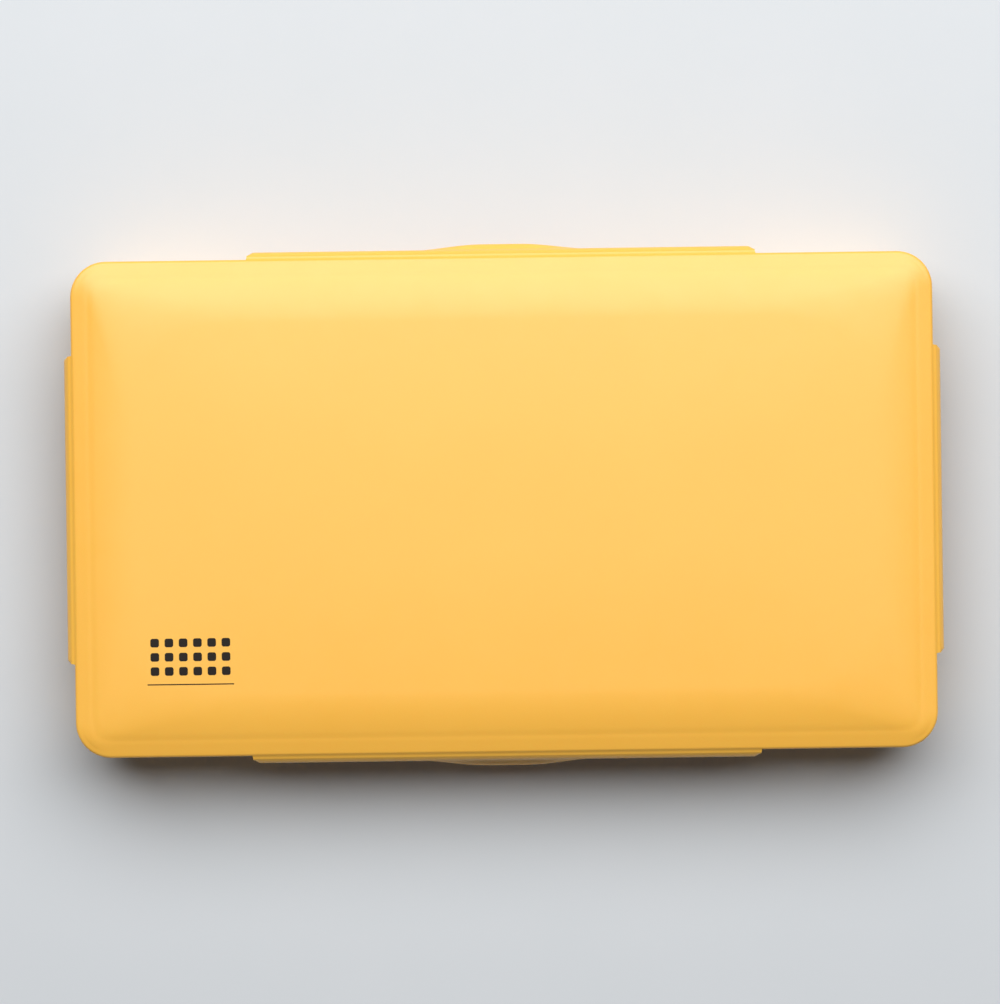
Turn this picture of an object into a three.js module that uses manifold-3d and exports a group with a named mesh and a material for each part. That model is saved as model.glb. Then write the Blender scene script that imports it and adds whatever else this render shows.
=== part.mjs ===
// Gouache paint set box: a snap-lock polypropylene case that carries eighteen cups of gouache in a rack,
// under a lift-out mixing palette that plugs the cups.
// Millimetres, +Z up. The origin is the middle of the underside, +X runs along the case and -Y is its front.

import * as THREE from 'three';
import { mergeVertices } from 'three/addons/utils/BufferGeometryUtils.js';
import Module from 'manifold-3d';

const wasm = await Module();
wasm.setup();

// Case in plan: every rounded outline below is an inset of the lid's edge
const lidLength = 339.4;
const lidWidth = 195.4;
const lidCornerRadius = 14;
const lidWall = 1.8;
const baseWall = 1.8;
const baseDraft = 2.4;
const lipClearance = 1;
const flangeInset = 0.3;

// Clearances that every seat shares
const seatGap = 0.3;
const cutOverrun = 2;

// Base tray
const footHeight = 0.8;
const footWidth = 10;
const footEdgeRadius = 2.4;
const floorThickness = 1.6;
const floorFillet = 1;
const flangeThickness = 2.4;
const flangeChamfer = 0.4;
const lipHeight = 2.4;
const lipRound = 0.5;

// Cups and their gouache
const cupColumns = 6;
const cupRows = 3;
const cupHeight = 22.5;
const cupFloat = 1.1;
const cupWall = 1;
const cupFlangeWidth = 2.4;
const cupFlangeThickness = 1.1;
const cupSpacing = 1.6;
const cupCornerRadius = 8;
const cupTaper = 2.6;
const cupBottomChamfer = 2.2;
const paintHeadspace = 4.8;
const paintGap = 0.3;

// Rack that the cups hang in
const rackClearance = 0.8;
const rackMargin = 2.5;
const rackPlate = 1.6;
const rackWeb = 1.6;
const rackCellRadius = 6;
const cupFit = 0.5;

// Mixing palette
const paletteWall = 1.2;
const paletteHeight = 8.7;
const paletteClearance = 1;
const wellDepth = 4.4;
const wellDraft = 1;
const plugClearance = 0.6;
const notchLength = 34;
const notchDepth = 4.4;

// Lid: rim that slopes up to a soft crease, pillow, low crown, and the rib that shuts the gasket channel
const rimWall = 1.4;
const rimWidth = 7;
const rimRise = 1.6;
const lidEdgeRadius = 1.2;
const domeRise = 2.2;
const domeRun = 18;
const crownRise = 1.2;
const domeCornerRadius = 16;
const paletteHold = 0.5;
const lipOverlap = 0.6;
const ribWall = 1.4;
const gasketHeight = 1.9;
const gasketSideGap = 0.3;
const gasketRound = 0.6;

// Snap flaps and their living hinges
const longFlapLength = 200;
const shortFlapLength = 121;
const flapGap = 1.4;
const flapWall = 1.5;
const flapHeight = 16.6;
const flapEndTaper = 1.2;
const flapCornerRadius = 5;
const flapEdgeRadius = 0.5;
const filmThickness = 0.5;
const filmDrop = 0.9;
const filmEndRelief = 0.3;
const shoulderDrop = 0.2;
const shoulderBend = 1.3;
const shoulderFall = 2.8;
const latchGap = 0.5;
const latchClearance = 0.35;
const beadNose = 0.35;
const beadLand = 0.5;
const beadHeight = 3;
const thumbLipLength = 66;
const thumbLipRamp = 17;
const thumbLipReach = 2;
const thumbLipHeight = 6;
const thumbLipLand = 2.2;

// How finely round corners and curves are cut
const caseCornerSteps = 6;
const cupCornerSteps = 3;
const curveSteps = 4;
const lipRampSteps = 6;
const domeShares = [0.16, 0.33, 0.52, 0.74, 1];
const crownShares = [0.3, 0.63, 1];

// Heights, worked out from the table up
const floorTop = footHeight + floorThickness;
const cupBottom = floorTop + cupFloat;
const cupTop = cupBottom + cupHeight;
const cupFlangeUnderside = cupTop - cupFlangeThickness;
const rackBottom = floorTop + seatGap;
const rackTop = cupFlangeUnderside - seatGap;
const paletteBottom = cupTop + seatGap;
const paletteSheetTop = paletteBottom + paletteWall;
const paletteTop = paletteBottom + paletteHeight;
const ribBottom = paletteTop + paletteHold;
const lipTop = ribBottom + lipOverlap;
const flangeTop = lipTop - lipHeight;
const flangeUnderside = flangeTop - flangeThickness;
const gasketBottom = lipTop + seatGap;
const lidCeiling = gasketBottom + gasketHeight + seatGap;
const rimTop = lidCeiling + rimWall;
const creaseTop = rimTop + rimRise;
const hingeHeight = rimTop - filmDrop - filmThickness / 2;

// Insets from the lid's edge
const lipInset = lidWall + lipClearance;
const lipMiddleInset = lipInset + baseWall / 2;
const ribInset = 2 * lipMiddleInset - lidWall;
const paletteInset = lipInset + baseWall + paletteClearance;
const wallInset = (height) => lipInset + baseDraft * (1 - height / lipTop);
const rackInset = (height) => wallInset(height) + baseWall + rackClearance;

// Plan sizes of the rack's grid and of one cup
const rackLength = lidLength - 2 * rackInset(rackBottom);
const rackWidth = lidWidth - 2 * rackInset(rackBottom);
const pitchX = (rackLength - 2 * rackMargin) / cupColumns;
const pitchY = (rackWidth - 2 * rackMargin) / cupRows;
const flangeLength = pitchX - cupSpacing;
const flangeWidth = pitchY - cupSpacing;

// Four quarter arcs, anticlockwise from above, joined by straight sides
function outline(length, width, radius, steps) {
  const points = [];
  for (let corner = 0; corner < 4; corner += 1) {
    const sideX = corner === 0 || corner === 3 ? 1 : -1;
    const sideY = corner < 2 ? 1 : -1;
    for (let step = 0; step <= steps; step += 1) {
      const angle = ((corner + step / steps) * Math.PI) / 2;
      const x = sideX * (length / 2 - radius) + radius * Math.cos(angle);
      const y = sideY * (width / 2 - radius) + radius * Math.sin(angle);
      points.push(new THREE.Vector2(x, y));
    }
  }
  return points;
}

const atHeight = (points, z) => points.map((point) => new THREE.Vector3(point.x, point.y, z));

// One horizontal section of the case, inset from the lid's edge
function caseSection(inset, z, radius = Math.max(lidCornerRadius - inset, lidCornerRadius / 4)) {
  return atHeight(outline(lidLength - 2 * inset, lidWidth - 2 * inset, radius, caseCornerSteps), z);
}

// One horizontal section of a cup, inset from the edge of its flange
function cupSection(inset, z) {
  const radius = Math.max(cupCornerRadius - inset, cupCornerRadius / 4);
  return atHeight(outline(flangeLength - 2 * inset, flangeWidth - 2 * inset, radius, cupCornerSteps), z);
}

// Skins a run of sections. An open run is capped at both ends, a closed one comes back to its start.
function loft(sections, closed = false) {
  const count = sections[0].length;
  const bands = closed ? sections.length : sections.length - 1;
  const index = [];
  for (let band = 0; band < bands; band += 1) {
    const low = band * count;
    const high = ((band + 1) % sections.length) * count;
    for (let i = 0; i < count; i += 1) {
      const next = (i + 1) % count;
      index.push(low + i, low + next, high + next, low + i, high + next, high + i);
    }
  }
  if (!closed) {
    const last = bands * count;
    for (let i = 1; i < count - 1; i += 1) {
      index.push(0, i + 1, i, last, last + i, last + i + 1);
    }
  }
  const geometry = new THREE.BufferGeometry().setFromPoints(sections.flat());
  geometry.setIndex(index);
  return geometry;
}

function toSolid(geometry) {
  const plain = geometry.clone();
  plain.deleteAttribute('normal');
  plain.deleteAttribute('uv');
  const merged = mergeVertices(plain);
  const vertProperties = Float32Array.from(merged.attributes.position.array);
  const triVerts = Uint32Array.from(merged.index.array);
  return new wasm.Manifold(new wasm.Mesh({ numProp: 3, vertProperties, triVerts }));
}

function toGeometry(solid) {
  const { vertProperties, triVerts } = solid.getMesh();
  const geometry = new THREE.BufferGeometry();
  geometry.setAttribute('position', new THREE.BufferAttribute(Float32Array.from(vertProperties), 3));
  geometry.setIndex(new THREE.BufferAttribute(Uint32Array.from(triVerts), 1));
  return geometry;
}

// A flat shape given thickness upwards from a height
function slab(shape, bottom, top) {
  const options = { depth: top - bottom, bevelEnabled: false, curveSegments: curveSteps };
  return new THREE.ExtrudeGeometry(shape, options).translate(0, 0, bottom);
}

// A cross-section, drawn in across and up, run along X and centred on it
function bar(shape, length) {
  const options = { depth: length, bevelEnabled: false, curveSegments: curveSteps };
  const across = new THREE.Matrix4().makeBasis(
    new THREE.Vector3(0, 1, 0),
    new THREE.Vector3(0, 0, 1),
    new THREE.Vector3(1, 0, 0),
  );
  const run = new THREE.ExtrudeGeometry(shape, options).translate(0, 0, -length / 2);
  return run.applyMatrix4(across);
}

const moved = (points, x, y) => points.map((point) => new THREE.Vector2(point.x + x, point.y + y));

// Middles of the cups, numbered from the back left to the front right
const cupPlaces = [];
for (let row = 0; row < cupRows; row += 1) {
  for (let column = 0; column < cupColumns; column += 1) {
    const x = (column - (cupColumns - 1) / 2) * pitchX;
    const y = ((cupRows - 1) / 2 - row) * pitchY;
    cupPlaces.push({ x, y });
  }
}

// Tray with a foot ring, drafted walls, an outward flange for the latches and a sealing lip above it
function baseTray() {
  const footInner = wallInset(0) + footWidth;
  const footOuter = wallInset(0) + footEdgeRadius;
  const edgeShare = 1 - Math.SQRT1_2;
  const inner = (height) => wallInset(height) + baseWall;
  return loft([
    caseSection(footInner, footHeight),
    caseSection(footInner, 0),
    caseSection(footOuter, 0),
    caseSection(wallInset(0) + footEdgeRadius * edgeShare, footEdgeRadius * edgeShare),
    caseSection(wallInset(footEdgeRadius), footEdgeRadius),
    caseSection(wallInset(flangeUnderside), flangeUnderside),
    caseSection(flangeInset, flangeUnderside),
    caseSection(flangeInset, flangeTop - flangeChamfer),
    caseSection(flangeInset + flangeChamfer, flangeTop),
    caseSection(wallInset(flangeTop), flangeTop),
    caseSection(lipInset, lipTop - lipRound),
    caseSection(lipInset + lipRound, lipTop),
    caseSection(lipInset + baseWall - lipRound, lipTop),
    caseSection(lipInset + baseWall, lipTop - lipRound),
    caseSection(inner(floorTop + floorFillet), floorTop + floorFillet),
    caseSection(inner(floorTop) + floorFillet * edgeShare, floorTop + floorFillet * edgeShare),
    caseSection(inner(floorTop) + floorFillet, floorTop),
  ]);
}

// Top plate with an aperture for each cup, over an egg-crate of webs that stands on the tray's floor
function cupRack() {
  const opening = flangeLength - 2 * (cupFlangeWidth - cupFit);
  const openingWidth = flangeWidth - 2 * (cupFlangeWidth - cupFit);
  const openingRadius = cupCornerRadius - cupFlangeWidth + cupFit;
  const topInset = rackInset(rackTop);
  const radius = Math.max(lidCornerRadius - topInset, lidCornerRadius / 4);
  const topSize = [lidLength - 2 * topInset, lidWidth - 2 * topInset, radius];
  const plate = new THREE.Shape(outline(...topSize, cupCornerSteps));
  const crate = new THREE.Shape(outline(rackLength, rackWidth, radius, cupCornerSteps));
  const aperture = outline(opening, openingWidth, openingRadius, cupCornerSteps);
  const cell = outline(pitchX - rackWeb, pitchY - rackWeb, rackCellRadius, cupCornerSteps);
  for (const { x, y } of cupPlaces) {
    plate.holes.push(new THREE.Path(moved(aperture, x, y)));
    crate.holes.push(new THREE.Path(moved(cell, x, y)));
  }
  const plateBottom = rackTop - rackPlate;
  const top = toSolid(slab(plate, plateBottom, rackTop));
  const webs = toSolid(slab(crate, rackBottom, plateBottom));
  return toGeometry(top.add(webs));
}

// Cup with a flange to hang by, tapered walls and a chamfered bottom
const cupBodyInset = (height) => cupFlangeWidth + (cupTaper * (cupTop - height)) / cupHeight;
const cupInnerFloor = cupBottom + cupWall;

function cup() {
  const chamferTop = cupBottom + cupBottomChamfer;
  const innerChamferTop = cupInnerFloor + cupBottomChamfer;
  return loft([
    cupSection(cupBodyInset(cupBottom) + cupBottomChamfer, cupBottom),
    cupSection(cupBodyInset(chamferTop), chamferTop),
    cupSection(cupBodyInset(cupFlangeUnderside), cupFlangeUnderside),
    cupSection(0, cupFlangeUnderside),
    cupSection(0, cupTop),
    cupSection(cupBodyInset(cupTop) + cupWall, cupTop),
    cupSection(cupBodyInset(innerChamferTop) + cupWall, innerChamferTop),
    cupSection(cupBodyInset(cupInnerFloor) + cupWall + cupBottomChamfer, cupInnerFloor),
  ]);
}

// Gouache that fills a cup to just below the palette's plug
function paint() {
  const bottom = cupInnerFloor + paintGap;
  const chamferTop = bottom + cupBottomChamfer;
  const top = cupTop - paintHeadspace;
  const side = (height) => cupBodyInset(height) + cupWall + paintGap;
  return loft([
    cupSection(side(bottom) + cupBottomChamfer, bottom),
    cupSection(side(chamferTop), chamferTop),
    cupSection(side(top), top),
  ]);
}

// Sheet with a raised rim. Each cup has a well over it, whose underside is the plug that shuts the cup.
function mixingPalette() {
  const tray = toSolid(loft([
    caseSection(paletteInset, paletteBottom),
    caseSection(paletteInset, paletteTop),
    caseSection(paletteInset + paletteWall, paletteTop),
    caseSection(paletteInset + paletteWall, paletteSheetTop),
  ]));
  const plugInset = cupFlangeWidth + cupWall + plugClearance;
  const plugBottom = paletteBottom - wellDepth;
  const plug = toSolid(loft([
    cupSection(plugInset + wellDraft, plugBottom),
    cupSection(plugInset, paletteBottom),
    cupSection(plugInset, paletteSheetTop),
  ]));
  const well = toSolid(loft([
    cupSection(plugInset + paletteWall + wellDraft, plugBottom + paletteWall),
    cupSection(plugInset + paletteWall, paletteSheetTop),
    cupSection(plugInset + paletteWall, paletteSheetTop + cutOverrun),
  ]));
  const plugs = wasm.Manifold.union(cupPlaces.map(({ x, y }) => plug.translate([x, y, 0])));
  const wells = wasm.Manifold.union(cupPlaces.map(({ x, y }) => well.translate([x, y, 0])));
  const notch = new THREE.Shape();
  notch.moveTo(-notchLength / 2, paletteTop + cutOverrun);
  notch.lineTo(-notchLength / 2, paletteTop);
  notch.quadraticCurveTo(-notchLength / 4, paletteTop - notchDepth, 0, paletteTop - notchDepth);
  notch.quadraticCurveTo(notchLength / 4, paletteTop - notchDepth, notchLength / 2, paletteTop);
  notch.lineTo(notchLength / 2, paletteTop + cutOverrun);
  const notches = toSolid(bar(notch, lidLength));
  return toGeometry(tray.add(plugs).subtract(wells).subtract(notches));
}

// Height of the lid's top surface from the crease inwards: a pillow whose slope dies away over its run,
// on a low crown that rises to the innermost section
const crownRun = lidWidth / 2 - rimWidth - domeRun - domeCornerRadius;
const levelOff = (share) => 1 - (1 - Math.min(share, 1)) ** 2;
function domeHeight(inset) {
  const past = inset - rimWidth;
  return creaseTop + domeRise * levelOff(past / domeRun) + crownRise * levelOff(past / (domeRun + crownRun));
}

const domeInsets = [
  ...domeShares.map((share) => rimWidth + share * domeRun),
  ...crownShares.map((share) => rimWidth + domeRun + share * crownRun),
];

// The dome's corners open out from the crease's radius to the crown's
function domeSection(inset, drop) {
  const creaseRadius = lidCornerRadius - rimWidth;
  const pillow = Math.min((inset - rimWidth) / domeRun, 1);
  return caseSection(inset, domeHeight(inset) - drop, THREE.MathUtils.lerp(creaseRadius, domeCornerRadius, pillow));
}

function lidShell() {
  const ribInner = ribInset + ribWall;
  const inside = domeInsets.filter((inset) => inset > ribInner).reverse();
  const edgeShare = 1 - Math.SQRT1_2;
  const skirtBottom = flangeTop + seatGap;
  return loft([
    ...inside.map((inset) => domeSection(inset, lidWall)),
    caseSection(ribInner, domeHeight(ribInner) - lidWall),
    caseSection(ribInner, ribBottom),
    caseSection(ribInset, ribBottom),
    caseSection(ribInset, lidCeiling),
    caseSection(lidWall, lidCeiling),
    caseSection(lidWall, skirtBottom),
    caseSection(0, skirtBottom),
    caseSection(0, rimTop - lidEdgeRadius),
    caseSection(lidEdgeRadius * edgeShare, rimTop - lidEdgeRadius * edgeShare),
    caseSection(lidEdgeRadius, rimTop),
    caseSection(rimWidth, creaseTop),
    ...domeInsets.map((inset) => domeSection(inset, 0)),
  ]);
}

// Silicone ring that the base's lip presses into the lid's channel
function lidGasket() {
  const outer = lidWall + gasketSideGap;
  const inner = ribInset - gasketSideGap;
  const top = gasketBottom + gasketHeight;
  return loft([
    caseSection(inner - gasketRound, gasketBottom),
    caseSection(outer + gasketRound, gasketBottom),
    caseSection(outer, gasketBottom + gasketRound),
    caseSection(outer, top),
    caseSection(inner, top),
    caseSection(inner, gasketBottom + gasketRound),
  ], true);
}

// Flap in its own frame: X along its hinge, Y outwards, Z up, with the origin in the middle of the film
const flapInner = flapGap / 2;
const flapOuter = flapInner + flapWall;
const flapTop = filmThickness / 2 - shoulderDrop;
const flapBottom = flapTop - flapHeight;

function flapProfile() {
  const beadTop = flangeUnderside - latchGap - hingeHeight;
  const beadTip = latchClearance - flangeInset - flapInner;
  const profile = new THREE.Shape();
  profile.moveTo(flapInner, flapTop);
  profile.lineTo(flapInner, beadTop);
  profile.lineTo(beadTip + beadNose, beadTop);
  profile.lineTo(beadTip, beadTop - beadNose);
  profile.lineTo(beadTip, beadTop - beadNose - beadLand);
  profile.lineTo(flapInner, beadTop - beadHeight);
  profile.lineTo(flapInner, flapBottom + flapEdgeRadius);
  profile.quadraticCurveTo(flapInner, flapBottom, flapInner + flapEdgeRadius, flapBottom);
  profile.lineTo(flapOuter - flapEdgeRadius, flapBottom);
  profile.quadraticCurveTo(flapOuter, flapBottom, flapOuter, flapBottom + flapEdgeRadius);
  profile.lineTo(flapOuter, flapTop - shoulderFall);
  profile.quadraticCurveTo(flapOuter, flapTop - shoulderBend, flapInner, flapTop);
  return profile;
}

// Plan outline that tapers the flap's ends back to the lid
function flapPlan(length) {
  const inside = -flapOuter - cutOverrun;
  const outside = flapOuter + thumbLipReach + cutOverrun;
  const plan = new THREE.Shape();
  plan.moveTo(-length / 2, inside);
  plan.lineTo(length / 2, inside);
  plan.lineTo(length / 2, flapInner);
  plan.lineTo(length / 2 - flapEndTaper, flapOuter);
  plan.lineTo(length / 2 - flapEndTaper, outside);
  plan.lineTo(flapEndTaper - length / 2, outside);
  plan.lineTo(flapEndTaper - length / 2, flapOuter);
  plan.lineTo(-length / 2, flapInner);
  return plan;
}

// Front view of the flap, with its two lower corners rounded
function flapFront(length) {
  const top = flapTop + cutOverrun;
  const front = new THREE.Shape();
  front.moveTo(-length / 2, top);
  front.lineTo(-length / 2, flapBottom + flapCornerRadius);
  front.quadraticCurveTo(-length / 2, flapBottom, flapCornerRadius - length / 2, flapBottom);
  front.lineTo(length / 2 - flapCornerRadius, flapBottom);
  front.quadraticCurveTo(length / 2, flapBottom, length / 2, flapBottom + flapCornerRadius);
  front.lineTo(length / 2, top);
  return front;
}

// Ledge along the middle of a long flap's lower edge: at each end it swells out in a smooth ramp
function thumbLip() {
  const root = flapOuter - flapWall / 2;
  const reach = flapOuter + thumbLipReach;
  const ramp = [];
  for (let step = 0; step <= lipRampSteps; step += 1) {
    const share = step / lipRampSteps;
    const swell = (1 - Math.cos(Math.PI * share)) / 2;
    ramp.push(new THREE.Vector2(thumbLipLength / 2 - share * thumbLipRamp, flapOuter + swell * thumbLipReach));
  }
  const plan = new THREE.Shape([
    new THREE.Vector2(-thumbLipLength / 2, root),
    new THREE.Vector2(thumbLipLength / 2, root),
    ...ramp,
    ...ramp.map((point) => new THREE.Vector2(-point.x, point.y)).reverse(),
  ]);
  const side = new THREE.Shape();
  side.moveTo(root, flapBottom);
  side.lineTo(reach - flapEdgeRadius, flapBottom);
  side.quadraticCurveTo(reach, flapBottom, reach, flapBottom + flapEdgeRadius);
  side.lineTo(reach, flapBottom + thumbLipLand);
  side.quadraticCurveTo(flapOuter, flapBottom + thumbLipLand, flapOuter, flapBottom + thumbLipHeight);
  side.lineTo(root, flapBottom + thumbLipHeight);
  const planSolid = toSolid(slab(plan, flapBottom, flapBottom + thumbLipHeight));
  return planSolid.intersect(toSolid(bar(side, thumbLipLength)));
}

function snapFlap(length, hasThumbLip) {
  const plan = toSolid(slab(flapPlan(length), flapBottom - cutOverrun, flapTop + cutOverrun));
  const depth = 2 * (flapOuter + cutOverrun);
  const turn = new THREE.Matrix4().makeRotationX(Math.PI / 2);
  const front = toSolid(slab(flapFront(length), -depth / 2, depth / 2).applyMatrix4(turn));
  const body = toSolid(bar(flapProfile(), length)).intersect(plan).intersect(front);
  return toGeometry(hasThumbLip ? body.add(thumbLip()) : body);
}

// Polypropylene thinned to a film, so that the flap folds on it
function hingeFilm(length) {
  return new THREE.BoxGeometry(length - 2 * filmEndRelief, flapGap, filmThickness);
}

const finish = (color, roughness) => new THREE.MeshStandardMaterial({ color, roughness, metalness: 0 });
const yellow = '#fcc74e';
const white = '#f3f1ea';
const paintColors = [
  '#f4f1e8', '#f7e14a', '#f6b21c', '#f07f1d', '#df3b26', '#b31f3a',
  '#e66a94', '#7a3f93', '#283c96', '#2f78c4', '#2fa7b4', '#1d7f5c',
  '#7fae3a', '#c8923a', '#9c5226', '#5b3a26', '#8b8f92', '#1f1f21',
];

const box = new THREE.Group();

function place(name, geometry, material, parent = box) {
  const mesh = new THREE.Mesh(geometry, material);
  mesh.name = name;
  parent.add(mesh);
  return mesh;
}

place('base_tray', baseTray(), finish(yellow, 0.42));
place('cup_rack', cupRack(), finish(white, 0.45));
place('palette', mixingPalette(), finish(white, 0.3));
place('lid_shell', lidShell(), finish(yellow, 0.38));
place('lid_gasket', lidGasket(), finish('#e9e7e1', 0.6));

cupPlaces.forEach(({ x, y }, i) => {
  const number = String(i + 1).padStart(2, '0');
  const spot = new THREE.Group();
  spot.position.set(x, y, 0);
  box.add(spot);
  place(`cup_${number}`, cup(), finish('#e8ebec', 0.25), spot);
  place(`paint_${number}`, paint(), finish(paintColors[i % paintColors.length], 0.4), spot);
});

// Each flap stands on its side of the lid, turned to face outwards
const hingeOut = flapGap / 2;
const flapSides = [
  { side: 'back', turn: 0, edge: lidWidth / 2, length: longFlapLength, lip: true },
  { side: 'left', turn: Math.PI / 2, edge: lidLength / 2, length: shortFlapLength, lip: false },
  { side: 'front', turn: Math.PI, edge: lidWidth / 2, length: longFlapLength, lip: true },
  { side: 'right', turn: -Math.PI / 2, edge: lidLength / 2, length: shortFlapLength, lip: false },
];
for (const { side, turn, edge, length, lip } of flapSides) {
  const hinge = new THREE.Group();
  hinge.rotation.z = turn;
  hinge.position.set(-Math.sin(turn) * (edge + hingeOut), Math.cos(turn) * (edge + hingeOut), hingeHeight);
  box.add(hinge);
  place(`${side}_flap`, snapFlap(length, lip), finish(yellow, 0.4), hinge);
  place(`${side}_hinge_film`, hingeFilm(length), finish(yellow, 0.4), hinge);
}

export default box;
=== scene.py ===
# A gouache paint set box: how its case, rack, cups, gouache and palette look.
# Metres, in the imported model's frame: +X along the case, -Y its front, +Z up.
import math
import random

import bmesh
import bpy
from mathutils import Matrix, Vector
from mathutils.bvhtree import BVHTree


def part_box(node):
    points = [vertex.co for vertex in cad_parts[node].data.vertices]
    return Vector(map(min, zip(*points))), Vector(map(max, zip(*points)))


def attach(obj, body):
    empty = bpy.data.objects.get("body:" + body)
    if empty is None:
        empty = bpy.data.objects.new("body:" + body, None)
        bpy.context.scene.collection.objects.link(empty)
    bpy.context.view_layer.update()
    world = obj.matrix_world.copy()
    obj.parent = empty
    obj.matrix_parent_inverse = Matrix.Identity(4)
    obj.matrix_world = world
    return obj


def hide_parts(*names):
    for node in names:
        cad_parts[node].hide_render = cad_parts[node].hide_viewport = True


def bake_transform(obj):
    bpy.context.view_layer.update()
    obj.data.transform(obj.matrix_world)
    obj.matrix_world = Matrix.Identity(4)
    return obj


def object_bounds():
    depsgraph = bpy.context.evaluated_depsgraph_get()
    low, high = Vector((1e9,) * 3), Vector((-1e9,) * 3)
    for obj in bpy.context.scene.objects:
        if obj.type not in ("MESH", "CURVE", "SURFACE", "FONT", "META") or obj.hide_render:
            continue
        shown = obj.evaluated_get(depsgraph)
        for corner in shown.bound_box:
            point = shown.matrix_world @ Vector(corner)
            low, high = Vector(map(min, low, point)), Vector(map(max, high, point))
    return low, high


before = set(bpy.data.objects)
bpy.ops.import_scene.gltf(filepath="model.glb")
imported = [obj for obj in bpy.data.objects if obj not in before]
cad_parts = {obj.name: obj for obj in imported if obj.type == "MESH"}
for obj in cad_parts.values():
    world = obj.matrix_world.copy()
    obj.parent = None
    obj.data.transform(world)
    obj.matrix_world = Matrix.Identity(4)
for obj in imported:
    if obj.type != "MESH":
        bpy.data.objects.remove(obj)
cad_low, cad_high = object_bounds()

# Camera
# It hangs straight over the closed case, so far up that no side wall shows, and is turned by the small
# angle at which the case lies in the picture.
PICTURE_HIGH_PX = 1004
PICTURE_MIDDLE_PX = Vector((500.0, 502.0))
CASE_MIDDLE_PX = Vector((504.0, 504.5))
CASE_LONG_PX = 877.0
CASE_TURN = math.radians(0.78)
CAMERA_HEIGHT = 3.0
SENSOR_MM = 36.0

pixel = (cad_high.x - cad_low.x) / CASE_LONG_PX
off_middle = (CASE_MIDDLE_PX - PICTURE_MIDDLE_PX) * pixel
rim_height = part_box("front_flap")[1].z
turned = Matrix.Rotation(-CASE_TURN, 3, "Z")
camera = bpy.data.objects.new("overhead_camera", bpy.data.cameras.new("overhead_camera"))
bpy.context.collection.objects.link(camera)
camera.data.sensor_width = SENSOR_MM
camera.data.lens = SENSOR_MM * CAMERA_HEIGHT / (pixel * PICTURE_HIGH_PX)
aside = turned @ Vector((-off_middle.x, off_middle.y, 0))
camera.location = aside + Vector((0, 0, rim_height + CAMERA_HEIGHT))
camera.rotation_euler = (0, 0, -CASE_TURN)
bpy.context.scene.camera = camera

# Tray
# The lower half of the case: a deep tray moulded in yellow polypropylene, with drafted walls, a foot
# ring, the flange that the flaps snap under and, above it, the lip that seals inside the lid. The stub of
# the gate it was filled through stands in the middle of its underside.
MM = 0.001
CASE_CORNER = 14 * MM
CASE_LEAST_CORNER = CASE_CORNER / 4
CASE_WALL = 1.8 * MM
LIP_CLEARANCE = 1 * MM
TRAY_DRAFT = 2.4 * MM
FOOT_HEIGHT = 0.8 * MM
FOOT_WIDTH = 10 * MM
FOOT_EDGE = 2.4 * MM
TRAY_FLOOR = 1.6 * MM
TRAY_FILLET = 1 * MM
GATE_WIDE = 2.6 * MM
GATE_ROUND = 1.2 * MM
GATE_TALL = 0.4 * MM
FLANGE_INSET = 0.3 * MM
FLANGE_THICK = 2.4 * MM
FLANGE_EDGE = 0.5 * MM
LIP_HEIGHT = 2.4 * MM
LIP_ROUND = 0.7 * MM
SMALL_ROUND = 0.3 * MM
CORNER_STEPS = 14
ARC_STEPS = 5
# An arc takes up no more than this share of the sides that it joins.
ARC_SHARE = 0.49
SHARP_FROM = math.radians(38)
YELLOW = "#FDBE4B"
YELLOW_DEEP = "#FBBA46"
# Polypropylene's, and near enough for the other plastics.
PLASTIC_IOR = 1.49
MOTTLE_SIZE = 45 * MM
SHEEN_PATCH_SIZE = 9 * MM
SHEEN_SPREAD = 0.05
# Red light runs further inside a plastic than green, and green further than blue.
LIGHT_DEPTH = 1 * MM
LIGHT_REACH = (1.0, 0.7, 0.35)
# Spark erosion leaves pits of about 0.05 mm. They are drawn at 0.5 mm, the least that shows.
SPARK_GRAIN = 0.5 * MM

lid_low, lid_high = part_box("lid_shell")


def linear(code):
    """An sRGB hex code as linear red, green, blue and alpha."""
    channels = [int(code[i:i + 2], 16) / 255 for i in (1, 3, 5)]
    return [c / 12.92 if c <= 0.04045 else ((c + 0.055) / 1.055) ** 2.4 for c in channels] + [1.0]


def add(tree, kind, values=None, **settings):
    """Adds a node. values maps an input to a plain value or to the output that feeds it."""
    node = tree.nodes.new(kind)
    for name, setting in settings.items():
        setattr(node, name, setting)
    for name, value in (values or {}).items():
        if isinstance(value, bpy.types.NodeSocket):
            tree.links.new(value, node.inputs[name])
        else:
            node.inputs[name].default_value = value
    return node


def new_material(name):
    """An empty material and its node tree."""
    material = bpy.data.materials.new(name)
    material.use_nodes = True
    material.node_tree.nodes.clear()
    return material, material.node_tree


def cloudy_colour(tree, cloud, light, deep):
    """Two near colours, mixed by a noise."""
    return add(
        tree, "ShaderNodeMix",
        {"Factor": cloud.outputs["Fac"], "A": linear(light), "B": linear(deep)}, data_type="RGBA",
    )


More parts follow.
